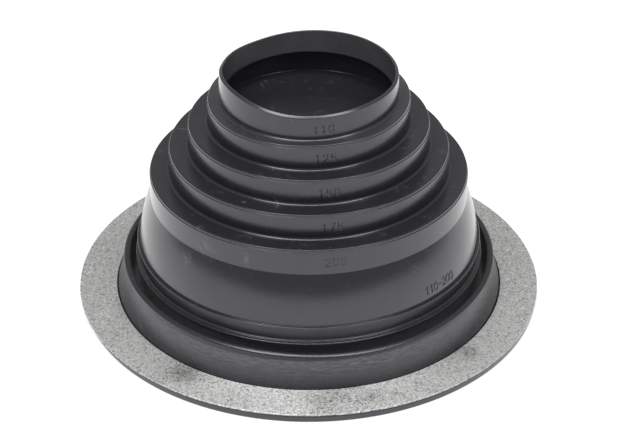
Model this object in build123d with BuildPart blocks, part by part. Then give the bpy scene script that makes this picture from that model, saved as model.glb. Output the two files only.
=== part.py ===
from build123d import *
import os
from math import atan2, cos, degrees, hypot, radians

# Rubber pipe flashing: a stepped rubber boot, moulded in one piece, with a soft aluminium ring
# bonded on its base. The base underside lies on Z = 0 and the pipe runs up the Z axis.

# Top collar, sized by its outside for the smallest pipe, and the treads that lead to the wider ones
first_collar_diameter = 110.0
first_tread_width = 7.5
tread_width = 12.5              # each of the three lower treads
lower_tread_count = 3

# Heights of the stepped cone
collar_rise = 16.3              # from one tread to the next, and from the crease to the lowest tread
first_collar_rise = 17.8        # from the top tread to the mean height of the rim

# Walls of the stepped cone, and the closed web inside it
collar_wall = 2.0
tread_wall = 2.2
relief_depth = 1.0              # taper on the inside that thins the top collar towards its foot
relief_rise = 3.4               # where the taper starts, above the top tread
web_rise = 2.0                  # top of the web above the second tread
web_thickness = 2.0

# Waves of the limp top rim, each by its rise and the angle of a crest round the pipe axis
rim_tilt_rise = 1.0
rim_tilt_crest = 100.0
rim_oval_rise = 1.3
rim_oval_crest = 31.0
rim_three_lobe_rise = 1.1
rim_three_lobe_crest = -40.0
sheet_count = 13                # lines of points each way in the wavy sheet that trims the rim

# Full body below the collars, and the band round its foot
body_height = 32.9              # from the top of the band up to the crease under the widest collar
crease_ledge = 0.6              # how far the body starts outside the widest collar
body_flare = 6.8                # how much further out the body's foot stands than its top
body_bulge = 1.6                # fullness of the body's curve against its straight chord
body_wall = 2.8
band_ledge = 3.2                # how far the band's top stands out from the body's foot
band_height = 7.8
band_spread = 0.2               # how much wider the band is at its foot than at its top
band_lip_overhang = 1.2         # lip under the band
band_lip_height = 2.6

# Kerb round the body and the groove between them
foot_undercut = 3.6             # how far the groove cuts in under the lip of the band
groove_gap = 4.0                # between the lip of the band and the inside of the kerb
groove_floor_rise = 1.0         # floor of the groove above the top of the base plate
band_lift = 1.2                 # lip of the band above the top of the kerb
kerb_height = 21.8              # above the aluminium ring
kerb_wall = 4.0                 # across the lip
kerb_lip_edge = 1.2             # bevel along both edges of the lip's top
kerb_lip_skirt = 1.6            # slanting side of the lip below its outer bevel
kerb_lip_overhang = 1.0
kerb_spread = 5.2               # how much further out the kerb's foot stands than its lip

# Base plate and the aluminium ring on top of it
base_thickness = 4.0
aluminium_thickness = 1.0
aluminium_width = 24.0
aluminium_edge_inset = 0.3      # rubber that shows round the ring's outer edge
aluminium_clearance = 0.2       # gap between the ring's inner edge and the kerb

# Room that the blank of the top collar and the rim cutter have beyond what they need
cutting_margin = 1.0

# Radii, from the pipe axis out
collar_radii = [first_collar_diameter / 2]
for width in [first_tread_width] + [tread_width] * lower_tread_count:
    collar_radii.append(collar_radii[-1] + width)
body_top_radius = collar_radii[-1] + crease_ledge
body_foot_radius = body_top_radius + body_flare
inside_radius = body_foot_radius - body_wall
band_top_radius = body_foot_radius + band_ledge
band_foot_radius = band_top_radius + band_spread
band_lip_radius = band_foot_radius + band_lip_overhang
groove_wall_radius = band_lip_radius - foot_undercut
kerb_inside_radius = band_lip_radius + groove_gap
kerb_lip_radius = kerb_inside_radius + kerb_wall
kerb_foot_radius = kerb_lip_radius + kerb_spread
aluminium_inner_radius = kerb_foot_radius + aluminium_clearance
aluminium_outer_radius = aluminium_inner_radius + aluminium_width
base_radius = aluminium_outer_radius + aluminium_edge_inset

# Heights, from the base underside up
groove_floor_height = base_thickness + groove_floor_rise
kerb_top_height = base_thickness + aluminium_thickness + kerb_height
kerb_bevel_height = kerb_top_height - kerb_lip_edge
kerb_neck_height = kerb_bevel_height - kerb_lip_skirt
band_lip_foot = kerb_top_height + band_lift
band_foot_height = band_lip_foot + band_lip_height
body_foot_height = band_foot_height + band_height
shoulder_height = body_foot_height + body_height
tread_count = len(collar_radii) - 1
tread_heights = [shoulder_height + collar_rise * (tread_count - step) for step in range(tread_count)]
rim_height = tread_heights[0] + first_collar_rise
rim_reach = rim_tilt_rise + rim_oval_rise + rim_three_lobe_rise
blank_height = rim_height + rim_reach + cutting_margin


def rim_sheet_point(x, y):
    """Point on the wavy sheet that the rim is trimmed along, straight above (x, y)."""
    share = hypot(x, y) / collar_radii[0]
    angle = degrees(atan2(y, x))
    tilt = rim_tilt_rise * share * cos(radians(angle - rim_tilt_crest))
    oval = rim_oval_rise * share**2 * cos(radians(2 * (angle - rim_oval_crest)))
    three_lobe = rim_three_lobe_rise * share**3 * cos(radians(3 * (angle - rim_three_lobe_crest)))
    return (x, y, rim_height + tilt + oval + three_lobe)


# Outside of the stepped cone, from the blank of the top collar down to the crease
stepped_outside = [(collar_radii[0], blank_height)]
for step in range(tread_count):
    stepped_outside += [(collar_radii[step], tread_heights[step]), (collar_radii[step + 1], tread_heights[step])]
stepped_outside.append((collar_radii[-1], shoulder_height))

# Inside of the stepped cone, from the crease up to the blank. The web closes it at the pipe axis,
# and the top collar has a taper in its foot.
ceilings = [height - tread_wall for height in tread_heights]
land_radii = [radius - collar_wall for radius in collar_radii]
web_top = tread_heights[1] + web_rise
web_foot = web_top - web_thickness
stepped_inside = [(land_radii[-1], shoulder_height)]
for step in reversed(range(1, tread_count)):
    stepped_inside += [(land_radii[step + 1], ceilings[step]), (land_radii[step], ceilings[step])]
stepped_inside += [
    (land_radii[1], web_foot),
    (0, web_foot),
    (0, web_top),
    (land_radii[1], web_top),
    (land_radii[1], ceilings[0]),
    (land_radii[0] + relief_depth, ceilings[0]),
    (land_radii[0], tread_heights[0] + relief_rise),
    (land_radii[0], blank_height),
]

body_top = (body_top_radius, shoulder_height)
body_foot = (body_foot_radius, body_foot_height)

with BuildPart() as rubber_boot:
    with BuildSketch(Plane.XZ):
        with BuildLine():
            Line(stepped_inside[-1], stepped_outside[0])
            Polyline(*stepped_outside)
            Line(stepped_outside[-1], body_top)
            SagittaArc(body_top, body_foot, body_bulge)
            Polyline(
                body_foot,
                (band_top_radius, body_foot_height),
                (band_foot_radius, band_foot_height),
                (band_lip_radius, band_foot_height),
                (band_lip_radius, band_lip_foot),
                (groove_wall_radius, band_lip_foot),
                (groove_wall_radius, groove_floor_height),
                (kerb_inside_radius, groove_floor_height),
                (kerb_inside_radius, kerb_bevel_height),
                (kerb_inside_radius + kerb_lip_edge, kerb_top_height),
                (kerb_lip_radius - kerb_lip_edge, kerb_top_height),
                (kerb_lip_radius, kerb_bevel_height),
                (kerb_lip_radius - kerb_lip_overhang, kerb_neck_height),
                (kerb_foot_radius, base_thickness),
                (base_radius, base_thickness),
                (base_radius, 0),
                (inside_radius, 0),
                (inside_radius, body_foot_height),
                stepped_inside[0],
            )
            Polyline(*stepped_inside)
        make_face()
    revolve(axis=Axis.Z)
    # The limp rim is trimmed along a wavy sheet
    sheet_half_width = collar_radii[0] + cutting_margin
    sheet_lines = [sheet_half_width * (2 * line / (sheet_count - 1) - 1) for line in range(sheet_count)]
    rim_sheet = Face.make_surface_from_array_of_points(
        [[rim_sheet_point(x, y) for x in sheet_lines] for y in sheet_lines]
    )
    extrude(rim_sheet, amount=2 * (rim_reach + cutting_margin), dir=(0, 0, 1), mode=Mode.SUBTRACT)

with BuildPart() as aluminium_flange:
    with BuildSketch(Plane.XY.offset(base_thickness)):
        Circle(aluminium_outer_radius)
        Circle(aluminium_inner_radius, mode=Mode.SUBTRACT)
    extrude(amount=aluminium_thickness)

rubber_boot.part.label = "rubber_boot"
aluminium_flange.part.label = "aluminium_flange"

os.makedirs("parts", exist_ok=True)
export_step(rubber_boot.part, "parts/rubber_boot.step")
export_step(aluminium_flange.part, "parts/aluminium_flange.step")
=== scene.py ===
from math import ceil, cos, pi, radians, sin, tan

import bpy
from bpy.props import FloatProperty, FloatVectorProperty, IntProperty, PointerProperty
from mathutils import Matrix, Vector, noise


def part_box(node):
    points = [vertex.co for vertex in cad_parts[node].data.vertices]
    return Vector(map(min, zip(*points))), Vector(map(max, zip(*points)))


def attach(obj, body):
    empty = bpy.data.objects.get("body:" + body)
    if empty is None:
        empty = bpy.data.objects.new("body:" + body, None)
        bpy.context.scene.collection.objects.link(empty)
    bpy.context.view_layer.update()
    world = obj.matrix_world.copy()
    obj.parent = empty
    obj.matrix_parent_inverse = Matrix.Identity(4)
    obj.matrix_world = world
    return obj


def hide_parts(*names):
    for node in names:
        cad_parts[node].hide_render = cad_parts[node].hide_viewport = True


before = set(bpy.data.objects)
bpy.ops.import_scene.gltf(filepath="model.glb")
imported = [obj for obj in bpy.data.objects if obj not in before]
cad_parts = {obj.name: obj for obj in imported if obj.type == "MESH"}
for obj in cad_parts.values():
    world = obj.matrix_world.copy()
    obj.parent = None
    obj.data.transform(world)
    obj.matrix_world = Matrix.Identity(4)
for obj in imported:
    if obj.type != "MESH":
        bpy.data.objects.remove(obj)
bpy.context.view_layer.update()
boot_low, boot_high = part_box("rubber_boot")
ring_low, ring_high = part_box("aluminium_flange")

bl_info = {
    "name": "Rubber Pipe Flashing",
    "version": (1, 0, 0),
    "blender": (4, 5, 0),
    "location": "3D View > Sidebar > Flashing",
    "description": "Builds a stepped rubber pipe flashing with its aluminium ring, and a studio round it",
    "category": "Object",
}

MM = 0.001
FLOOR_GAP = 0.2 * MM

# Rounding of a section: the smallest turn that gets an arc, the turn of each step of an arc, and the
# largest share of a side that an arc may take up
SMALLEST_TURN = radians(4)
ARC_STEP = radians(24)
LARGEST_REACH = 0.48

# Shares of the outer radius: where the kerb starts to sag, where the base's edge starts to draw in,
# and where the ring's cut edge starts to play
KERB_SHARES = (0.75, 0.77)
BASE_EDGE_SHARE = 0.9
RING_EDGE_SHARE = 0.985

# How much the base's edge draws in on the mean, and how much that differs from side to side
BASE_DRAW_MEAN = 0.75
BASE_DRAW_DIFFERENCE = 0.35

# Uneven places in a metre of the sheet, and of its cut edge in coarse and in fine
SHEET_PLACES = 22
COARSE_EDGE_PLACES = 90
FINE_EDGE_PLACES = 420
FINE_EDGE_SHARE = 0.7

# Sloping ends of a raised stroke, as shares of its width and its relief
END_LENGTH = 0.4
END_WIDTH = 0.6
END_RELIEF = -0.4


def length(name, description, default):
    """A length property whose default is given in millimetres."""
    return FloatProperty(
        name=name, description=description, default=default * MM, unit="LENGTH", subtype="DISTANCE", precision=5
    )


def share(name, description, default):
    """A property from 0 to 1."""
    return FloatProperty(name=name, description=description, default=default, min=0, max=1, subtype="FACTOR")


def angle(name, description, default):
    """An angle property whose default is given in degrees."""
    return FloatProperty(
        name=name, description=description, default=radians(default), subtype="ANGLE", unit="ROTATION"
    )


def colour(name, description, default):
    """A linear colour property."""
    return FloatVectorProperty(
        name=name, description=description, default=default, size=3, min=0, max=1, subtype="COLOR"
    )


class FlashingSizes(bpy.types.PropertyGroup):
    """Sizes of the boot and the ring."""

    first_collar_diameter: length("First collar", "Outside diameter of the top collar", 110)
    first_tread_width: length("First tread", "Width of the tread under the top collar", 7.5)
    tread_width: length("Tread", "Width of each lower tread", 12.5)
    lower_treads: IntProperty(name="Lower treads", description="Treads below the first one", default=3, min=1)
    collar_rise: length("Collar rise", "Height from one tread to the next", 16.3)
    first_collar_rise: length("First collar rise", "Height from the top tread to the mean rim", 17.8)
    collar_wall: length("Collar wall", "Thickness of the collars", 2.0)
    tread_wall: length("Tread wall", "Thickness of the treads", 2.2)
    web_rise: length("Web rise", "Height of the closed web's top above the second tread", 2.0)
    web_thickness: length("Web thickness", "Thickness of the closed web", 2.0)
    web_rounding: length("Web rounding", "Radius round the edge of the web", 0.3)
    collar_draft: length("Collar draft", "How much further out a collar's foot stands than its top", 0.8)
    step_out: length("Step out", "How far a collar's wall stands out below its top edge", 0.45)
    step_height: length("Step height", "Height of the step round a collar's top edge", 1.7)
    edge_rounding: length("Edge rounding", "Radius along the moulded edges", 0.6)
    root_rounding: length("Root rounding", "Radius where a collar stands on its tread", 1.5)
    rim_bevel: length("Rim bevel", "How far the rim's cut falls to the outside", 1.6)
    rim_rounding: length("Rim rounding", "Radius along both edges of the rim", 0.5)
    shoulder_height: length("Shoulder height", "Height of the crease under the widest collar", 71.3)
    crease_ledge: length("Crease ledge", "How far the body starts outside the widest collar's top edge", 0.9)
    body_flare: length("Body flare", "How much wider the body's foot is than its top", 7.8)
    body_bulge: length("Body bulge", "Fullness of the body's curve", 1.4)
    body_foot_height: length("Body foot", "Height of the band's top", 39.2)
    body_wall: length("Body wall", "Thickness of the body at its foot", 2.8)
    band_ledge: length("Band ledge", "How far the band stands out from the body", 1.8)
    band_height: length("Band height", "Height of the band above its lip", 9.2)
    band_undercut: length("Band undercut", "How far the band draws in towards its foot", 0.4)
    band_lip_overhang: length("Band lip overhang", "How far the upper rib of that lip stands out", 1.3)
    band_lip_step: length("Band lip step", "How far the lower rib stands out from the upper one", 0.5)
    band_lip_notch: length("Band lip notch", "Depth and height of the notch between the two ribs", 0.65)
    band_lip_height: length("Band lip height", "Height of the lip under the band", 2.3)
    foot_undercut: length("Foot undercut", "How far the groove cuts in under the band", 3.6)
    groove_gap: length("Groove gap", "Gap between the band's lip and the kerb", 4.0)
    groove_floor_height: length("Groove floor", "Height of the groove's floor", 5.0)
    groove_rounding: length("Groove rounding", "Radius in the corners of the groove's floor", 3.2)
    kerb_top_height: length("Kerb top", "Height of the kerb's lip", 26.8)
    kerb_wall: length("Kerb wall", "Thickness of the kerb's lip", 4.0)
    kerb_lip_height: length("Kerb lip height", "Height of the sloping lip of the kerb", 2.7)
    kerb_lip_crest: share("Kerb lip crest", "Where across the kerb's lip its top is highest", 0.5)
    kerb_lip_fall: share("Kerb lip fall", "Share of the lip's height by which its top falls outwards", 0.45)
    kerb_lip_overhang: length("Kerb lip overhang", "How far the kerb's lip stands out over its wall", 1.0)
    kerb_spread: length("Kerb spread", "How much wider the kerb's foot is than its lip", 5.2)
    base_edge_drop: length("Base edge drop", "How far the rubber's edge draws in under the ring at places", 1.1)
    ring_inner_radius: length("Ring inner radius", "Radius of the ring's inner edge", 125.4)
    ring_rise: length("Ring rise", "Unevenness of the soft ring", 0.35)
    ring_edge_play: length("Ring edge play", "Unevenness of the ring's cut edge", 0.12)
    outline_spacing: length("Outline spacing", "Longest face along the section", 5.0)
    edge_support: length("Edge support", "Width of the faces beside a rounded edge", 0.3)
    segments: IntProperty(name="Segments", description="Faces round the axis", default=240, min=32)


class FlashingShape(bpy.types.PropertyGroup):
    """How the limp rubber hangs."""

    rim_tilt: length("Rim tilt", "Rise of the rim's tilt", 1.0)
    rim_tilt_crest: angle("Tilt crest", "Where the tilted rim is highest", 100)
    rim_oval: length("Rim oval", "Rise of the rim's two waves", 1.3)
    rim_oval_crest: angle("Oval crest", "Where a crest of the two waves lies", 31)
    rim_three: length("Rim three waves", "Rise of the rim's three waves", 1.1)
    rim_three_crest: angle("Three waves crest", "Where a crest of the three waves lies", -40)
    rim_four: length("Rim four waves", "Rise of the rim's four waves", 0.45)
    rim_four_crest: angle("Four waves crest", "Where a crest of the four waves lies", 31)
    lean: length("Lean", "Rise of the top tread's tilt, which fades down the treads", 1.5)
    lean_lift: length("Lean lift", "How far the top tread is drawn up, which fades down the treads too", 0.65)
    lean_fade: share("Lean fade", "Share of the tilt that each next tread keeps", 0.4)
    lean_crest: angle("Lean crest", "Where the tilted treads are highest", 50)
    hinge: length("Hinge", "Mean rise of the top collar's foot, from none in front to twice as much behind", 1.95)
    rim_bulge: length("Rim bulge", "How far the rim bulges out at one place", 1.3)
    rim_bulge_bearing: angle("Bulge bearing", "Where the rim bulges out", 147)
    rim_bulge_width: angle("Bulge width", "How far round the bulge reaches", 24)
    kerb_dip: length("Kerb dip", "How far the kerb's lip sags at one place", 1.2)
    kerb_dip_bearing: angle("Dip bearing", "Where the kerb's lip sags", -72)
    kerb_dip_width: angle("Dip width", "How far round the sag reaches", 45)
    slow_wave: length("Slow wave", "Unevenness of the walls", 0.12)
    slow_wave_length: length("Slow wave length", "Distance from one uneven place to the next", 38)


class FlashingNumbers(bpy.types.PropertyGroup):
    """Raised pipe sizes on the collars."""

    height: length("Height", "Height of a number", 5.4)
    pitch: length("Pitch", "Distance from one number to the next", 4.8)
    stroke: length("Stroke", "Width of a number's strokes", 0.75)
    relief: length("Relief", "How far the strokes stand out", 0.35)
    rise: length("Rise", "Height of a number's middle above its tread", 7.8)
    bearing: angle("Bearing", "Where the numbers stand round the axis", -80.8)
    range_bearing: angle("Range bearing", "Where the range of sizes stands on the body", -42)
    range_rise: length("Range rise", "Height of the range above the body's foot", 6.6)
    range_pitch: length("Range pitch", "Distance from one number of the range to the next", 3.9)


class FlashingFinish(bpy.types.PropertyGroup):
    """Colours and gloss of the rubber and the aluminium."""

    rubber: colour("Rubber", "Colour of the clean rubber", (0.0150, 0.0144, 0.0174))
    # This colour also paints light into the groove, inside the top collar and onto the top tread
    dust: colour("Dust", "Colour of dusty and rubbed rubber", (0.155, 0.153, 0.160))
    sheen: colour("Sheen", "Tint of what the rubber mirrors", (0.95, 0.925, 1.0))
    rubber_gloss: share("Rubber roughness", "Roughness of the moulded rubber", 0.24)
    rubber_index: FloatProperty(name="Rubber index", description="Index of refraction", default=1.57, min=1)
    rubber_relief: length("Rubber relief", "Depth of the fine relief on the rubber", 0.06)
    aluminium: colour("Aluminium", "Colour of the dull sheet", (0.64, 0.64, 0.63))
    bright: colour("Bright aluminium", "Colour of rubbed aluminium", (0.97, 0.97, 0.965))
    # This colour also paints shade on the ring: its dark patches and its cut edge
    stain: colour("Stain", "Colour of stains on the sheet", (0.06, 0.059, 0.056))
    aluminium_gloss: share("Aluminium roughness", "Roughness of the sheet", 0.5)
    aluminium_bare: share("Bare metal", "How much the sheet mirrors as bare metal does", 0.72)
    aluminium_drawn: share("Drawn gloss", "How much the gloss is drawn out along the turning marks", 0.6)
    aluminium_turn: share("Drawn turn", "Direction in which the gloss is drawn out, in full turns", 0.25)
    aluminium_relief: length("Aluminium relief", "Depth of the fine relief on the sheet", 0.2)


class FlashingStudio(bpy.types.PropertyGroup):
    """Camera, lights and floor."""

    distance: length("Distance", "From the camera to the point it looks at", 1097.25)
    elevation: angle("Elevation", "Height of the camera above the horizon", 32.283)
    roll: angle("Roll", "Turn of the camera about its view", 0.098)
    aim_x: length("Aim X", "Sideways place of the point the camera looks at", 1.78)
    aim_height: length("Aim height", "Height of the point the camera looks at", 45.52)
    lens: FloatProperty(name="Lens", description="Focal length on a 36 mm sensor", default=98.23, unit="CAMERA")
    lamp_width: length("Lamp width", "Width of each of the two overhead lamps", 480)
    lamp_length: length("Lamp length", "Length of the lamps, from front to back", 1300)
    lamp_height: length("Lamp height", "Height of the lamps", 1500)
    lamp_front: length("Lamp front", "How far the lamps stand before the axis", 420)
    lamp_spread: length("Lamp spread", "How far each lamp stands from the middle of the two", 490)
    lamp_shift: length("Lamp shift", "How far the middle of the two lamps lies to the right", 70)
    lamp_power: FloatProperty(name="Lamp power", description="Mean power of a lamp", default=15.8, unit="POWER")
    lamp_difference: share("Lamp difference", "Share by which the left lamp is stronger than the mean", 0.12)
    sky: share("Sky", "Brightness of the room round the object", 0.385)
    floor_size: length("Floor size", "Side of the floor", 1500)
    floor_glow: share("Floor glow", "Light that the seen floor gives out, which lifts it to white", 0.7)
    floor_mirrored: share("Floor mirrored", "Light that the floor gives out where the object mirrors it", 0.74)
    floor_white: share("Floor white", "Colour of the seen floor under its glow", 0.4)
    floor_bounce: share("Floor bounce", "Colour of the floor for light that it sends back", 0.8)


class FlashingSettings(bpy.types.PropertyGroup):
    """All the settings of the flashing."""

    sizes: PointerProperty(type=FlashingSizes)
    shape: PointerProperty(type=FlashingShape)
    numbers: PointerProperty(type=FlashingNumbers)
    finish: PointerProperty(type=FlashingFinish)
    studio: PointerProperty(type=FlashingStudio)


# Sections of the boot and the ring


def collar_radii(sizes):
    """Outside radius of each collar, from the top one down."""
    radii = [sizes.first_collar_diameter / 2]
    for width in [sizes.first_tread_width] + [sizes.tread_width] * sizes.lower_treads:
        radii.append(radii[-1] + width)
    return radii


def tread_heights(sizes):
    """Height of each tread, from the top one down."""
    count = sizes.lower_treads + 1
    return [sizes.shoulder_height + sizes.collar_rise * (count - step) for step in range(count)]


def rim_height(sizes):
    """Mean height of the top rim."""
    return tread_heights(sizes)[0] + sizes.first_collar_rise


def wall_radius(sizes, step, height):
    """Outside radius of a collar's drafted wall at a height between its top and its foot."""
    tops = [rim_height(sizes)] + [tread - sizes.step_height for tread in tread_heights(sizes)]
    feet = tread_heights(sizes) + [sizes.shoulder_height]
    out = sizes.step_out if step else 0
    down = (tops[step] - height) / (tops[step] - feet[step])
    return collar_radii(sizes)[step] + out + (sizes.collar_draft - out) * down


def body_radius(sizes, height):
    """Outside radius of the body's full curve at a height between its foot and the crease."""
    down = (sizes.shoulder_height - height) / (sizes.shoulder_height - sizes.body_foot_height)
    top = collar_radii(sizes)[-1] + sizes.crease_ledge
    return top + sizes.body_flare * down + 4 * sizes.body_bulge * down * (1 - down)


def outside_corners(sizes):
    """Corners (radius, height, rounding) down the outside of the boot, from the rim to the base's lower edge."""
    radii = collar_radii(sizes)
    edge = sizes.edge_rounding
    tops = [rim_height(sizes)] + tread_heights(sizes)
    feet = tread_heights(sizes) + [sizes.shoulder_height]
    corners = []
    for radius, top, foot in zip(radii, tops, feet):
        if radius == radii[0]:
            corners.append((radius, top - sizes.rim_bevel, sizes.rim_rounding))
        else:
            step = top - sizes.step_height
            out = radius + sizes.step_out
            corners += [(radius, top, edge), (radius, step, edge / 3), (out, step, edge / 2)]
        if foot > sizes.shoulder_height:
            corners.append((radius + sizes.collar_draft, foot, sizes.root_rounding))

    # The full body, its band and the lip under the band
    body_height = sizes.shoulder_height - sizes.body_foot_height
    rows = ceil(body_height / sizes.outline_spacing)
    heights = [sizes.shoulder_height - body_height * row / rows for row in range(rows + 1)]
    crease = len(corners)
    corners += [(body_radius(sizes, height), height, 0) for height in heights]
    corners[crease] = (body_radius(sizes, sizes.shoulder_height), sizes.shoulder_height, edge)
    body_foot = body_radius(sizes, sizes.body_foot_height)
    band_top = body_foot + sizes.band_ledge
    band_foot = band_top - sizes.band_undercut
    upper_rib = band_foot + sizes.band_lip_overhang
    band_lip = upper_rib + sizes.band_lip_step
    band_foot_height = sizes.body_foot_height - sizes.band_height
    lip_foot = band_foot_height - sizes.band_lip_height
    notch = sizes.band_lip_notch
    rib_foot = band_foot_height - notch
    corners[-1] = (body_foot, sizes.body_foot_height, edge / 2)
    corners += [
        (band_top, sizes.body_foot_height, edge),
        (band_foot, band_foot_height, edge),
        (upper_rib, band_foot_height, edge),
        (upper_rib, rib_foot, edge / 3),
        (upper_rib - notch, rib_foot - notch / 2, edge / 3),
        (band_lip, rib_foot - notch, edge),
        (band_lip, lip_foot, edge),
    ]

    # The groove, the kerb with its sloping lip, and the base's edge
    groove_wall = band_lip - sizes.foot_undercut
    kerb_inside = band_lip + sizes.groove_gap
    kerb_lip = kerb_inside + sizes.kerb_wall
    lip_side = kerb_lip - sizes.kerb_lip_overhang
    neck = sizes.kerb_top_height - sizes.kerb_lip_height
    kerb_foot = kerb_lip + sizes.kerb_spread
    lip_crest = kerb_inside + sizes.kerb_lip_crest * sizes.kerb_wall
    lip_edge = sizes.kerb_top_height - sizes.kerb_lip_fall * sizes.kerb_lip_height
    corners += [
        (groove_wall, lip_foot, edge),
        (groove_wall, sizes.groove_floor_height, sizes.groove_rounding),
        (kerb_inside, sizes.groove_floor_height, sizes.groove_rounding),
        (kerb_inside, sizes.kerb_top_height - edge, 1.4 * edge),
        (lip_crest, sizes.kerb_top_height, 5 * edge),
        (kerb_lip, lip_edge, edge / 2),
        (lip_side, neck, edge / 2),
        (kerb_foot, ring_low.z, edge),
        (boot_high.x, ring_low.z, edge),
        (boot_high.x, boot_low.z, edge),
    ]
    return corners


def inside_corners(sizes):
    """Corners (radius, height, rounding) up the inside of the boot, from the base to the web and on to the rim."""
    lands = [radius - sizes.collar_wall for radius in collar_radii(sizes)]
    treads = tread_heights(sizes)
    ceilings = [tread - sizes.tread_wall for tread in treads]
    edge = sizes.edge_rounding
    inside = body_radius(sizes, sizes.body_foot_height) - sizes.body_wall
    corners = [
        (inside, boot_low.z, edge),
        (inside, sizes.body_foot_height, 0),
        (lands[-1], sizes.shoulder_height, 0),
    ]
    for step in reversed(range(1, len(treads))):
        corners += [(lands[step + 1], ceilings[step], edge), (lands[step], ceilings[step], edge)]

    # The closed web and the ceiling above it
    web_top = treads[1] + sizes.web_rise
    web_foot = web_top - sizes.web_thickness
    corners += [
        (lands[1], web_foot, edge),
        (0, web_foot, 0),
        (0, web_top, 0),
        (lands[1], web_top, sizes.web_rounding),
        (lands[1], ceilings[0], edge),
        (lands[0], ceilings[0], edge),
        (lands[0], rim_height(sizes), sizes.rim_rounding),
    ]
    return corners


def rounded_outline(corners, sizes):
    """Points round a closed outline, with an arc at each rounded corner and a narrow face beside it."""
    arcs = []
    for index, (radius, height, rounding) in enumerate(corners):
        here = Vector((radius, height))
        back = Vector(corners[index - 1][:2]) - here
        ahead = Vector(corners[(index + 1) % len(corners)][:2]) - here
        turn = pi - back.angle(ahead)
        if not rounding or turn < SMALLEST_TURN:
            arcs.append([here])
            continue
        reach = min(rounding * tan(turn / 2), LARGEST_REACH * back.length, LARGEST_REACH * ahead.length)
        centre = here + (back.normalized() + ahead.normalized()).normalized() * reach / sin(turn / 2)
        first = here + back.normalized() * reach - centre
        turn_way = 1 if back.x * ahead.y - back.y * ahead.x < 0 else -1
        steps = max(2, ceil(turn / ARC_STEP))
        turns = [turn_way * turn * step / steps for step in range(steps + 1)]
        arcs.append([centre + Matrix.Rotation(part, 2) @ first for part in turns])

    points = []
    for arc, following in zip(arcs, arcs[1:] + arcs[:1]):
        points += arc
        start, end = arc[-1], following[0]
        along = end - start
        stops = []
        if len(arc) > 1:
            stops.append(sizes.edge_support)
        if len(following) > 1:
            stops.append(along.length - sizes.edge_support)
        if along.length < 4 * sizes.edge_support:
            continue
        rows = ceil(along.length / sizes.outline_spacing)
        stops += [along.length * row / rows for row in range(1, rows)]
        points += [start + along.normalized() * stop for stop in sorted(stops)]
    return points


# Shapes of the limp rubber and the soft sheet


def smooth_step(low, high, value):
    """0 below low, 1 above high and a smooth way between."""
    part = min(max((value - low) / (high - low), 0), 1)
    return part * part * (3 - 2 * part)


def rim_wave(sizes, shape, radius, bearing):
    """Height of the limp rim against its mean height."""
    out = radius / (sizes.first_collar_diameter / 2)
    return (
        shape.rim_tilt * out * cos(bearing - shape.rim_tilt_crest)
        + shape.rim_oval * out**2 * cos(2 * (bearing - shape.rim_oval_crest))
        + shape.rim_three * out**3 * cos(3 * (bearing - shape.rim_three_crest))
        + shape.rim_four * out**4 * cos(4 * (bearing - shape.rim_four_crest))
    )


def lean(sizes, shape, radius, height, bearing):
    """Tilt of the treads, strongest at the top one and less at each next one down."""
    treads = tread_heights(sizes)
    steps_down = (treads[0] - height) / sizes.collar_rise
    fade = shape.lean_fade ** max(steps_down, 0) * smooth_step(sizes.shoulder_height, treads[-1], height)
    out = min(radius / collar_radii(sizes)[0], 1)
    return fade * out * (shape.lean_lift + shape.lean * cos(bearing - shape.lean_crest))


def hinge(sizes, shape, radius, height, bearing):
    """Rise of the top collar's foot, which the top tread gives way to."""
    radii = collar_radii(sizes)
    treads = tread_heights(sizes)
    inward = min(max((radii[1] - radius) / sizes.first_tread_width, 0), 1)
    upward = smooth_step(treads[1] + sizes.web_rise, treads[0] - sizes.tread_wall, height)
    return shape.hinge * (1 + sin(bearing)) * inward * upward


def swell(bearing, middle, width):
    """1 at the middle bearing, and none where a bearing is further round than the width."""
    away = abs((bearing - middle + pi) % (2 * pi) - pi)
    return 1 - smooth_step(0, width, away)


def kerb_sag(sizes, shape, radius, height, bearing):
    """How far the kerb sags, most at its lip."""
    start, end = [part * boot_high.x for part in KERB_SHARES]
    outward = smooth_step(start, end, radius)
    upward = min(max((height - ring_high.z) / (sizes.kerb_top_height - ring_high.z), 0), 1)
    return shape.kerb_dip * outward * upward * swell(bearing, shape.kerb_dip_bearing, shape.kerb_dip_width)


def sheet_rise(sizes, radius, bearing):
    """Unevenness of the ring and of the base under it, which grows towards the edge."""
    spot = Vector((cos(bearing), sin(bearing), 0)) * radius
    outward = smooth_step(sizes.ring_inner_radius, ring_high.x, radius)
    return sizes.ring_rise * outward * (0.5 + 0.5 * noise.noise(spot * SHEET_PLACES))


def boot_point(sizes, shape, radius, height, bearing):
    """Place of a point of the section, turned round the axis and hung as the limp rubber hangs."""
    top_tread = tread_heights(sizes)[0]
    up_collar = min(max((height - top_tread) / sizes.first_collar_rise, 0), 1)
    foot_rise = lean(sizes, shape, radius, height, bearing) + hinge(sizes, shape, radius, height, bearing)
    fall = (1 - up_collar) * foot_rise + up_collar * rim_wave(sizes, shape, radius, bearing)
    spot = Vector((radius * cos(bearing), radius * sin(bearing), height))
    play = shape.slow_wave * noise.noise(spot / shape.slow_wave_length)
    play *= smooth_step(boot_low.z, sizes.kerb_top_height, height)
    play += up_collar * shape.rim_bulge * swell(bearing, shape.rim_bulge_bearing, shape.rim_bulge_width)
    fall -= kerb_sag(sizes, shape, radius, height, bearing)
    from_front = bearing + pi / 2
    drawn_in = sizes.base_edge_drop * (1 - cos(2 * from_front))
    drawn_in *= BASE_DRAW_MEAN - BASE_DRAW_DIFFERENCE * sin(from_front)
    play -= drawn_in * smooth_step(BASE_EDGE_SHARE * boot_high.x, boot_high.x, radius)
    fall += sheet_rise(sizes, radius, bearing) * min(height / ring_low.z, 1)
    return ((radius + play) * cos(bearing), (radius + play) * sin(bearing), height + fall)


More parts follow.
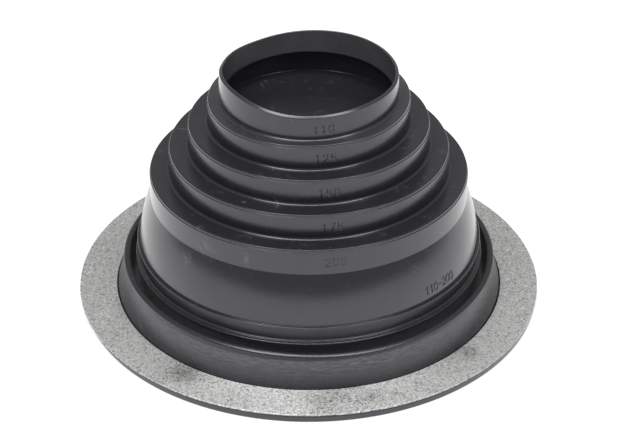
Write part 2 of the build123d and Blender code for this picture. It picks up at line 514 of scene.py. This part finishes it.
def ring_point(sizes, radius, height, bearing):
    """Place of a point of the ring's section on the uneven sheet."""
    spot = Vector((cos(bearing), sin(bearing), 0)) * radius
    at_edge = smooth_step(RING_EDGE_SHARE * ring_high.x, ring_high.x, radius)
    uneven = noise.noise(spot * COARSE_EDGE_PLACES) + FINE_EDGE_SHARE * noise.noise(spot * FINE_EDGE_PLACES)
    play = sizes.ring_edge_play * at_edge * uneven
    rise = sheet_rise(sizes, radius, bearing)
    return ((radius + play) * cos(bearing), (radius + play) * sin(bearing), height + rise)


# Meshes


def mesh_piece(name, vertices, faces, material):
    """A smooth piece that rides with the part and takes the material it is given."""
    mesh = bpy.data.meshes.new(name)
    mesh.from_pydata(vertices, [], faces)
    mesh.validate()
    mesh.shade_smooth()
    piece = bpy.data.objects.new(name, mesh)
    piece.data.materials.append(material)
    bpy.context.scene.collection.objects.link(piece)
    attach(piece, "root")
    return piece


def revolved(outline, segments, place):
    """Vertices and faces of a closed outline carried round the axis, where a point on the axis is made once."""
    vertices = []
    rows = []
    for radius, height in outline:
        turns = segments if radius > 0 else 1
        rows.append([len(vertices) + turn % turns for turn in range(segments + 1)])
        vertices += [place(radius, height, 2 * pi * turn / segments) for turn in range(turns)]
    faces = []
    for row, after in zip(rows, rows[1:] + rows[:1]):
        for turn in range(segments):
            corners = tuple(dict.fromkeys((row[turn], after[turn], after[turn + 1], row[turn + 1])))
            if len(corners) > 2:
                faces.append(corners)
    return vertices, faces


# Raised numbers


def bow(across, up, half_width, half_height, start, end, steps=16):
    """Points along a part of an ellipse, from one angle in degrees to another."""
    angles = [radians(start + (end - start) * step / steps) for step in range(steps + 1)]
    return [(across + half_width * cos(turn), up + half_height * sin(turn)) for turn in angles]


# Strokes of each sign in a cell 1 high, about its middle
STROKES = {
    "0": bow(0, 0, 0.28, 0.5, 90, 450, 28),
    "1": [(-0.16, 0.3), (0.05, 0.5), (0.05, -0.5)],
    "2": bow(0, 0.23, 0.27, 0.27, 165, -35) + [(-0.28, -0.5), (0.3, -0.5)],
    "5": [(0.26, 0.5), (-0.2, 0.5), (-0.24, 0.05)] + bow(-0.02, -0.18, 0.3, 0.32, 118, -140),
    "7": [(-0.3, 0.5), (0.3, 0.5), (-0.08, -0.5)],
    "-": [(-0.22, 0), (0.22, 0)],
}

# Section across a stroke, as shares of its width and its relief
STROKE_SECTION = ((-0.5, -0.4), (-0.38, 0.75), (-0.2, 1), (0.2, 1), (0.38, 0.75), (0.5, -0.4))


def stroke_mesh(path, numbers, place):
    """Vertices and faces of one raised stroke along a path, with sloping ends."""
    points = [Vector(point) * numbers.height for point in path]
    ahead = (points[1] - points[0]).normalized()
    behind = (points[-1] - points[-2]).normalized()
    tail = numbers.stroke * END_LENGTH
    rows = [(points[0] - ahead * tail, ahead, END_WIDTH, END_RELIEF)]
    for index, point in enumerate(points):
        before = points[max(index - 1, 0)]
        after = points[min(index + 1, len(points) - 1)]
        rows.append((point, (after - before).normalized(), 1, 1))
    rows.append((points[-1] + behind * tail, behind, END_WIDTH, END_RELIEF))
    vertices = []
    for point, along, width, relief in rows:
        side = Vector((along.y, -along.x))
        for across, up in STROKE_SECTION:
            spot = point + side * across * width * numbers.stroke
            vertices.append(place(spot.x, spot.y, min(up, relief) * numbers.relief))
    wide = len(STROKE_SECTION)
    faces = []
    for row in range(len(rows) - 1):
        for column in range(wide - 1):
            corner = row * wide + column
            faces.append((corner, corner + wide, corner + wide + 1, corner + 1))
    return vertices, faces


def word_mesh(word, pitch, numbers, place):
    """Vertices and faces of a word of signs about its middle."""
    vertices = []
    faces = []
    for index, sign in enumerate(word):
        shift = (index - (len(word) - 1) / 2) * pitch
        found, joined = stroke_mesh(
            STROKES[sign], numbers, lambda across, up, out: place(across + shift, up, out)
        )
        faces += [tuple(corner + len(vertices) for corner in face) for face in joined]
        vertices += found
    return vertices, faces


# Shader maths


class Wire:
    """A socket of a shader that writes Math nodes as expressions are worked out on it."""

    def __init__(self, maker, socket):
        self.maker = maker
        self.socket = socket

    def math(self, operation, *values):
        return self.maker.add("ShaderNodeMath", {"operation": operation}, dict(enumerate((self, *values))))

    def __add__(self, other):
        return self.math("ADD", other)

    def __mul__(self, other):
        return self.math("MULTIPLY", other)

    def __sub__(self, other):
        return self.math("SUBTRACT", other)

    def __truediv__(self, other):
        return self.math("DIVIDE", other)

    def __pow__(self, other):
        return self.math("POWER", other)

    def __rsub__(self, other):
        return self.maker.add("ShaderNodeMath", {"operation": "SUBTRACT"}, {0: other, 1: self})

    def __rtruediv__(self, other):
        return self.maker.add("ShaderNodeMath", {"operation": "DIVIDE"}, {0: other, 1: self})

    __radd__ = __add__
    __rmul__ = __mul__

    def between(self, low, high):
        """0 below low, 1 above high and a smooth way between; the other way round where low is the larger."""
        if low > high:
            return 1 - self.between(high, low)
        values = {"Value": self, "From Min": low, "From Max": high}
        return self.maker.add("ShaderNodeMapRange", {"interpolation_type": "SMOOTHSTEP"}, values)


class ShaderMaker:
    """Adds nodes to a material or a world and joins them."""

    def __init__(self, owner):
        owner.use_nodes = True
        self.owner = owner
        self.tree = owner.node_tree
        self.tree.nodes.clear()

    def add(self, kind, settings=None, inputs=None, out=0):
        """A node of a kind, with its settings set first and then its sockets; gives one output."""
        node = self.tree.nodes.new(kind)
        for name, value in (settings or {}).items():
            setattr(node, name, value)
        for key, value in (inputs or {}).items():
            if isinstance(value, Wire):
                self.tree.links.new(value.socket, node.inputs[key])
            else:
                node.inputs[key].default_value = value
        return Wire(self, node.outputs[out])

    def place(self):
        """Position on the object, in metres."""
        return self.add("ShaderNodeTexCoord", out="Object")

    def split(self, vector):
        """The three parts of a vector."""
        parts = self.add("ShaderNodeSeparateXYZ", inputs={"Vector": vector})
        return [Wire(self, parts.socket.node.outputs[axis]) for axis in "XYZ"]

    def join(self, x, y, z):
        """A vector from its three parts."""
        return self.add("ShaderNodeCombineXYZ", inputs={"X": x, "Y": y, "Z": z})

    def noise(self, vector, scale, detail=2.0, rough=0.5, warp=0.0):
        """Soft noise from 0 to 1."""
        values = {"Vector": vector, "Scale": scale, "Detail": detail, "Roughness": rough, "Distortion": warp}
        return self.add("ShaderNodeTexNoise", inputs=values)

    def mix(self, factor, first, second):
        """A colour between two, by a factor."""
        paints = [paint if isinstance(paint, Wire) else (*paint, 1) for paint in (first, second)]
        return self.add("ShaderNodeMix", {"data_type": "RGBA"}, {0: factor, 6: paints[0], 7: paints[1]}, 2)

    def bump(self, height, distance, strength):
        """A normal that follows a height."""
        return self.add("ShaderNodeBump", inputs={"Height": height, "Distance": distance, "Strength": strength})

    def finish(self, shader, output="ShaderNodeOutputMaterial"):
        """Joins a shader to the output and gives the material or world."""
        node = self.tree.nodes.new(output)
        self.tree.links.new(shader.socket, node.inputs["Surface"])
        return self.owner


# Finishes

# Smudges on the rubber, as bearing in degrees, radius, height and size in millimetres
SMUDGES = (
    (-93, 94.0, 87.6, 3.4),
    (-93, 98.5, 87.6, 2.2),
    (-42, 94.0, 87.6, 3.0),
    (-118, 82.0, 103.9, 2.6),
    (-62, 24.0, 122.2, 3.5),
    (84, 60.5, 130.0, 2.2),
    (-127, 100.8, 78.0, 13.0),
    (-111, 100.8, 77.0, 9.0),
    (-131, 101.0, 76.0, 7.0),
    (-136, 103.5, 64.0, 9.0),
    (-21, 104.0, 58.0, 9.0),
)

# Patches of painted shade on the ring, where its colour is darkened so that it mirrors less light, in the same way
PAINTED_SHADE_PATCHES = (
    (-83, 134.0, 5.0, 52.0),
    (-125, 131.0, 5.0, 30.0),
    (-42, 130.0, 5.0, 24.0),
)


# Zones of the rubber by height or radius in metres, from where a mask is 0 to where it is 1
KERB_BELOW = (0.028, 0.026)
KERB_OUTSIDE = (0.118, 0.119)
KERB_DUST_OVER_FOOT_SHADE = (0.007, 0.021)
KERB_DUST_UNDER_BEAD_SHADOW = (0.0222, 0.0212)
GROOVE_BELOW = (0.0275, 0.0265)
GROOVE_OUTSIDE = (0.105, 0.107)
GROOVE_INSIDE = (0.1165, 0.116)
TOP_COLLAR_LIGHT_ABOVE = (0.137, 0.141)
TOP_TREAD_LIGHT_ABOVE = (0.133, 0.135)


def smudge_mask(make, place, ragged, spots):
    """1 in the middle of each spot, with a ragged edge."""
    mask = 0.0
    for bearing, radius, height, size in spots:
        turn = radians(bearing)
        spot = Vector((radius * cos(turn), radius * sin(turn), height)) * MM
        away = make.add("ShaderNodeVectorMath", {"operation": "DISTANCE"}, {0: place, 1: spot}, "Value")
        mask = (away / (size * MM) + ragged * 3.2).between(2.2, 1.2) + mask
    return mask


def rubber_material(finish):
    """Satin black moulded rubber with rings from the mould, rubbed places, scratches, smudges and dust, with painted
    light in the groove, inside the top collar and on the top tread, and painted shade on the kerb.
    """
    if "moulded_rubber" in bpy.data.materials:
        return bpy.data.materials["moulded_rubber"]
    make = ShaderMaker(bpy.data.materials.new("moulded_rubber"))
    place = make.place()
    x, y, z = make.split(place)
    radius = (x * x + y * y) ** 0.5
    bearing = y.math("ARCTAN2", x)
    facing_x, facing_y, facing_up = make.split(make.add("ShaderNodeNewGeometry", out="Normal"))
    facing_out = (facing_x * x + facing_y * y) / radius

    # Patterns of the mould and of wear
    rings = make.noise(make.join(radius * 1500, z * 1500, bearing * 5), scale=1.0, detail=2.0)
    brushed = make.noise(make.join(bearing * 22, z * 1100, radius * 300), scale=1.0, detail=3.0, rough=0.6)
    cloud = make.noise(place, scale=38.0, detail=4.0, rough=0.6)
    patches = make.noise(place, scale=120.0, detail=5.0, rough=0.65, warp=0.4)
    specks = make.noise(place, scale=700.0, detail=1.0).between(0.74, 0.8)
    slanted = make.join(bearing * 28 + z * 340, z * 26 - bearing * 2.2, radius * 20)
    scratches = make.noise(slanted, scale=1.0, detail=1.0, rough=0.5, warp=0.3).between(0.7, 0.76)
    scratches = scratches * cloud.between(0.54, 0.66) * facing_out.between(-0.3, 0.0)

    # Places where dust lies, and places where light and shade are painted with the rubber's colours
    on_kerb = z.between(*KERB_BELOW) * radius.between(*KERB_OUTSIDE)
    on_treads = facing_up.between(0.6, 0.95)
    # Painted light: the groove is lightened with the dust colour, standing in for light that reaches into it
    groove_painted_light = z.between(*GROOVE_BELOW) * radius.between(*GROOVE_OUTSIDE) * radius.between(*GROOVE_INSIDE)
    # Painted light: the inside of the top collar is lightened with the dust colour in a cloudy spread, standing in
    # for light that falls into the opening
    collar_painted_light = facing_out.between(-0.2, -0.7) * z.between(*TOP_COLLAR_LIGHT_ABOVE)
    smudges = smudge_mask(make, place, patches, SMUDGES)
    dust_and_painted_light = patches.between(0.56, 0.82) * (0.1 + 0.12 * on_treads) + specks * 0.3 * on_treads
    dust_and_painted_light = dust_and_painted_light + smudges * 0.3 + scratches * 0.35 + groove_painted_light * 0.6 + collar_painted_light * (0.2 + 0.35 * cloud)
    behind = y / radius
    # Dust and wear on the kerb's wall, fading towards its foot and held off a band under the bead, so that the bare
    # rubber there is painted shade at the foot and a painted shadow under the bead
    kerb_dust_and_shade = on_kerb * z.between(*KERB_DUST_OVER_FOOT_SHADE) * z.between(*KERB_DUST_UNDER_BEAD_SHADOW)
    kerb_dust_and_shade = kerb_dust_and_shade * (0.16 + 0.6 * brushed.between(0.3, 0.75))
    # The kerb's dust is weighted by bearing: full in front and from the sides round to the back, weakest about 70
    # degrees either side of the front
    dust_and_painted_light = dust_and_painted_light + kerb_dust_and_shade * (0.3 + 0.7 * (behind.between(-0.3, -1.0) + behind.between(-0.35, -0.1)))
    # Painted light: the top tread is lightened a little, standing in for the light that its tilt catches
    dust_and_painted_light = dust_and_painted_light + on_treads * z.between(*TOP_TREAD_LIGHT_ABOVE) * 0.1

    colour = make.mix(dust_and_painted_light, finish.rubber, finish.dust)
    rubbed = cloud.between(0.45, 0.75)
    roughness = finish.rubber_gloss - 0.03 + rubbed * 0.06 + dust_and_painted_light * 0.2 + on_kerb * 0.05
    relief = rings * (0.4 + 0.9 * on_treads) + on_kerb * brushed * 1.0 + patches * 0.4
    shader = make.add(
        "ShaderNodeBsdfPrincipled",
        inputs={
            "Base Color": colour,
            "Roughness": roughness,
            "IOR": finish.rubber_index,
            "Specular Tint": (*finish.sheen, 1),
            "Normal": make.bump(relief, finish.rubber_relief, strength=0.6),
        },
    )
    return make.finish(shader)


def aluminium_material(finish):
    """Dull grainy aluminium sheet with sparkling and dark grains, rubbed streaks and stains, with patches of painted
    shade and painted shade on its cut edge.
    """
    make = ShaderMaker(bpy.data.materials.new("soft_aluminium"))
    place = make.place()
    x, y, z = make.split(place)
    radius = (x * x + y * y) ** 0.5
    bearing = y.math("ARCTAN2", x)
    facing_up = make.split(make.add("ShaderNodeNewGeometry", out="Normal"))[2]

    cloud = make.noise(place, scale=22.0, detail=4.0, rough=0.6, warp=0.6)
    mottle = make.noise(place, scale=420.0, detail=5.0, rough=0.8, warp=0.3)
    grain = make.noise(place, scale=1000.0, detail=3.0, rough=0.8)
    rings = make.noise(make.join(radius * 700, bearing * 7, 0.0), scale=1.0, detail=3.0, rough=0.65)
    flakes = make.add("ShaderNodeTexVoronoi", inputs={"Vector": place, "Scale": 900.0}, out="Color")
    sparkle, dullness, _ = make.split(flakes)
    stains = make.noise(place, scale=55.0, detail=3.0, rough=0.6, warp=1.0).between(0.7, 0.84)
    # Painted shade: faces that turn away from the top, the ring's cut edge above all, are darkened towards the stain
    # colour
    edge = facing_up.between(0.75, 0.3)
    # Painted shade: the dull mask darkens the sheet at a few patches, so that its reflection there is dimmer
    dull = smudge_mask(make, place, cloud * 0.4 + 0.3, PAINTED_SHADE_PATCHES)

    rubbed = mottle.between(0.45, 0.7) * 0.4 + sparkle.between(0.75, 1.0) * 0.8
    # Dark grains and stains, together with the painted shade of the patches and of the cut edge
    grains_stains_and_shade = grain.between(0.5, 0.3) * 0.5 + dullness.between(0.4, 0.0) * 0.4
    grains_stains_and_shade = grains_stains_and_shade + stains * 0.4 + dull * 0.75 + edge * 0.35
    colour = make.mix(grains_stains_and_shade, make.mix(rubbed, finish.aluminium, finish.bright), finish.stain)
    roughness = finish.aluminium_gloss + (cloud - 0.5) * 0.24 - sparkle.between(0.5, 1.0) * 0.26 + stains * 0.1
    relief = mottle * 0.5 + grain * 1.3 + rings * 0.3 + sparkle * 0.5
    shader = make.add(
        "ShaderNodeBsdfPrincipled",
        inputs={
            "Base Color": colour,
            "Metallic": finish.aluminium_bare,
            "Roughness": roughness,
            "Anisotropic": finish.aluminium_drawn,
            "Anisotropic Rotation": finish.aluminium_turn,
            "Normal": make.bump(relief, finish.aluminium_relief, strength=0.9),
        },
    )
    return make.finish(shader)


def floor_material(studio):
    """Pale floor that is white where it is seen or mirrored, and keeps the shadow of the object."""
    make = ShaderMaker(bpy.data.materials.new("pale_floor"))
    rays = make.add("ShaderNodeLightPath").socket.node.outputs
    kinds = ("Is Camera Ray", "Is Glossy Ray", "Is Transmission Ray")
    seen, glossy, through = [Wire(make, rays[kind]) for kind in kinds]
    bounce = make.add("ShaderNodeBsdfDiffuse", inputs={"Color": (studio.floor_bounce,) * 3 + (1,)})
    white = make.add("ShaderNodeBsdfDiffuse", inputs={"Color": (studio.floor_white,) * 3 + (1,)})
    glow = make.add("ShaderNodeEmission", inputs={"Strength": studio.floor_glow})
    lifted = make.add("ShaderNodeAddShader", inputs={0: white, 1: glow})
    full = make.add("ShaderNodeEmission", inputs={"Strength": studio.floor_mirrored})
    mirrored = make.add("ShaderNodeAddShader", inputs={0: bounce, 1: full})
    unseen = make.add("ShaderNodeMixShader", inputs={0: glossy + through, 1: bounce, 2: mirrored})
    return make.finish(make.add("ShaderNodeMixShader", inputs={0: seen, 1: unseen, 2: lifted}))


# Operators


class FLASHING_OT_rubber_boot(bpy.types.Operator):
    """Make the stepped rubber boot, hung as the limp rubber hangs"""

    bl_idname = "flashing.rubber_boot"
    bl_label = "Rubber Boot"

    def execute(self, context):
        settings = context.scene.flashing
        sizes = settings.sizes
        outline = rounded_outline(outside_corners(sizes) + inside_corners(sizes), sizes)
        vertices, faces = revolved(
            outline,
            sizes.segments,
            lambda radius, height, bearing: boot_point(sizes, settings.shape, radius, height, bearing),
        )
        boot = mesh_piece("rubber_boot_skin", vertices, faces, rubber_material(settings.finish))
        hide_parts("rubber_boot")
        return {"FINISHED"}


class FLASHING_OT_collar_numbers(bpy.types.Operator):
    """Raise the pipe size on each collar and the range of sizes on the body"""

    bl_idname = "flashing.collar_numbers"
    bl_label = "Collar Numbers"

    def execute(self, context):
        settings = context.scene.flashing
        sizes = settings.sizes
        numbers = settings.numbers
        feet = tread_heights(sizes) + [sizes.shoulder_height]
        radii = collar_radii(sizes)
        marks = []
        for step, radius in enumerate(radii):
            size = str(round(2 * radius / MM))
            middle = feet[step] + numbers.rise
            marks.append((size, numbers.bearing, middle, lambda height, step=step: wall_radius(sizes, step, height)))
        span = f"{round(2 * radii[0] / MM)}-{round(2 * radii[-1] / MM)}"
        range_height = sizes.body_foot_height + numbers.range_rise
        marks.append((span, numbers.range_bearing, range_height, lambda height: body_radius(sizes, height)))
        vertices = []
        faces = []
        for word, bearing, middle, wall in marks:

            def place(across, up, out):
                height = middle + up
                radius = wall(height)
                return boot_point(sizes, settings.shape, radius + out, height, bearing + across / radius)

            pitch = numbers.range_pitch if word == span else numbers.pitch
            found, joined = word_mesh(word, pitch, numbers, place)
            faces += [tuple(corner + len(vertices) for corner in face) for face in joined]
            vertices += found
        mesh_piece("collar_numbers", vertices, faces, rubber_material(settings.finish))
        return {"FINISHED"}


class FLASHING_OT_aluminium_ring(bpy.types.Operator):
    """Lay the soft aluminium ring on the base"""

    bl_idname = "flashing.aluminium_ring"
    bl_label = "Aluminium Ring"

    def execute(self, context):
        settings = context.scene.flashing
        sizes = settings.sizes
        inner = sizes.ring_inner_radius
        rounding = sizes.edge_rounding / 2
        corners = [
            (inner, ring_high.z, rounding),
            (ring_high.x, ring_high.z, rounding),
            (ring_high.x, ring_low.z, rounding),
            (inner, ring_low.z, rounding),
        ]
        vertices, faces = revolved(
            rounded_outline(corners, sizes),
            2 * sizes.segments,
            lambda radius, height, bearing: ring_point(sizes, radius, height, bearing),
        )
        ring = mesh_piece("aluminium_ring", vertices, faces, aluminium_material(settings.finish))
        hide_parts("aluminium_flange")
        return {"FINISHED"}


class FLASHING_OT_studio(bpy.types.Operator):
    """Set up the floor, the lamps, the room and the camera"""

    bl_idname = "flashing.studio"
    bl_label = "Studio"

    def execute(self, context):
        studio = context.scene.flashing.studio
        scene = context.scene
        half = studio.floor_size / 2
        mesh = bpy.data.meshes.new("floor")
        level = boot_low.z - FLOOR_GAP
        corners = [(-half, -half, level), (half, -half, level), (half, half, level), (-half, half, level)]
        mesh.from_pydata(corners, [], [(0, 1, 2, 3)])
        mesh.materials.append(floor_material(studio))
        floor = bpy.data.objects.new("floor", mesh)
        scene.collection.objects.link(floor)

        for name, side in (("left_lamp", -1), ("right_lamp", 1)):
            lamp = bpy.data.lights.new(name, "AREA")
            lamp.shape = "RECTANGLE"
            lamp.size = studio.lamp_width
            lamp.size_y = studio.lamp_length
            lamp.energy = studio.lamp_power * (1 - side * studio.lamp_difference)
            overhead = bpy.data.objects.new(name, lamp)
            across = studio.lamp_shift + side * studio.lamp_spread
            overhead.location = (across, -studio.lamp_front, studio.lamp_height)
            overhead.rotation_euler = Vector(overhead.location).to_track_quat("Z", "Y").to_euler()
            scene.collection.objects.link(overhead)

        room = bpy.data.worlds.new("room")
        make = ShaderMaker(room)
        seen = make.add("ShaderNodeLightPath", out="Is Camera Ray")
        light = make.add("ShaderNodeBackground", inputs={"Color": (1, 1, 1, 1), "Strength": studio.sky})
        white = make.add("ShaderNodeBackground", inputs={"Color": (1, 1, 1, 1), "Strength": 1.0})
        mixed = make.add("ShaderNodeMixShader", inputs={0: seen, 1: light, 2: white})
        make.finish(mixed, "ShaderNodeOutputWorld")
        scene.world = room

        lens = bpy.data.cameras.new("camera")
        lens.lens = studio.lens
        camera = bpy.data.objects.new("camera", lens)
        aim = Vector((studio.aim_x, 0, studio.aim_height))
        back = Vector((0, -cos(studio.elevation), sin(studio.elevation)))
        turn = Matrix.Rotation(pi / 2 - studio.elevation, 4, "X") @ Matrix.Rotation(studio.roll, 4, "Z")
        camera.matrix_world = Matrix.Translation(aim + back * studio.distance) @ turn
        scene.collection.objects.link(camera)
        scene.camera = camera
        scene.view_settings.view_transform = "Standard"
        return {"FINISHED"}


class FLASHING_PT_panel(bpy.types.Panel):
    """Lists the steps that build the flashing"""

    bl_idname = "FLASHING_PT_panel"
    bl_label = "Flashing"
    bl_space_type = "VIEW_3D"
    bl_region_type = "UI"
    bl_category = "Flashing"

    def draw(self, context):
        for step in STEPS:
            self.layout.operator(step.bl_idname)


STEPS = (FLASHING_OT_rubber_boot, FLASHING_OT_collar_numbers, FLASHING_OT_aluminium_ring, FLASHING_OT_studio)
GROUPS = (FlashingSizes, FlashingShape, FlashingNumbers, FlashingFinish, FlashingStudio, FlashingSettings)
CLASSES = GROUPS + STEPS + (FLASHING_PT_panel,)


def register():
    for cls in CLASSES:
        bpy.utils.register_class(cls)
    bpy.types.Scene.flashing = PointerProperty(type=FlashingSettings)


def unregister():
    del bpy.types.Scene.flashing
    for cls in reversed(CLASSES):
        bpy.utils.unregister_class(cls)


def main():
    """Builds the flashing and its studio."""
    register()
    bpy.ops.flashing.rubber_boot()
    bpy.ops.flashing.collar_numbers()
    bpy.ops.flashing.aluminium_ring()
    bpy.ops.flashing.studio()


if __name__ == "__main__":
    main()
